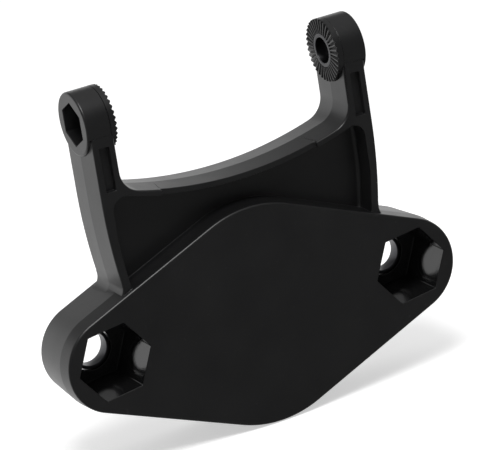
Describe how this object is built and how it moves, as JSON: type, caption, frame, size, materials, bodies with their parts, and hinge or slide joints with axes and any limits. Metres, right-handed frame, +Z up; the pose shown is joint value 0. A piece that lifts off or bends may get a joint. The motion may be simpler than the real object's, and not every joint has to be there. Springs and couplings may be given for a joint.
{
  "type": "yoke bracket",
  "caption": "Moulded yoke bracket: lozenge base with two hexagon-pocket lugs and two arms ending in toothed ears.",
  "frame": {"origin": "centre of the base's flat back face, midway between the two lug holes", "axes": "+X along the line through the two lugs, +Z up from the base to the ears, +Y out of the back face; the hexagon pockets open towards -Y"},
  "size_m": [0.1148, 0.0194, 0.1009],
  "materials": {
    "black_nylon": "black glass-filled nylon, fine satin moulding texture",
    "zinc_steel": "zinc-plated steel, turned",
    "black_steel": "black-oxide steel, turned"
  },
  "bodies": {
    "root": {"yoke_body": "black_nylon", "rosette_left": "black_nylon", "rosette_right": "black_nylon", "clamp_bush_left": "zinc_steel", "clamp_bush_right": "zinc_steel", "lug_bush_left": "black_steel", "lug_bush_right": "black_steel"}
  },
  "joints": []
}
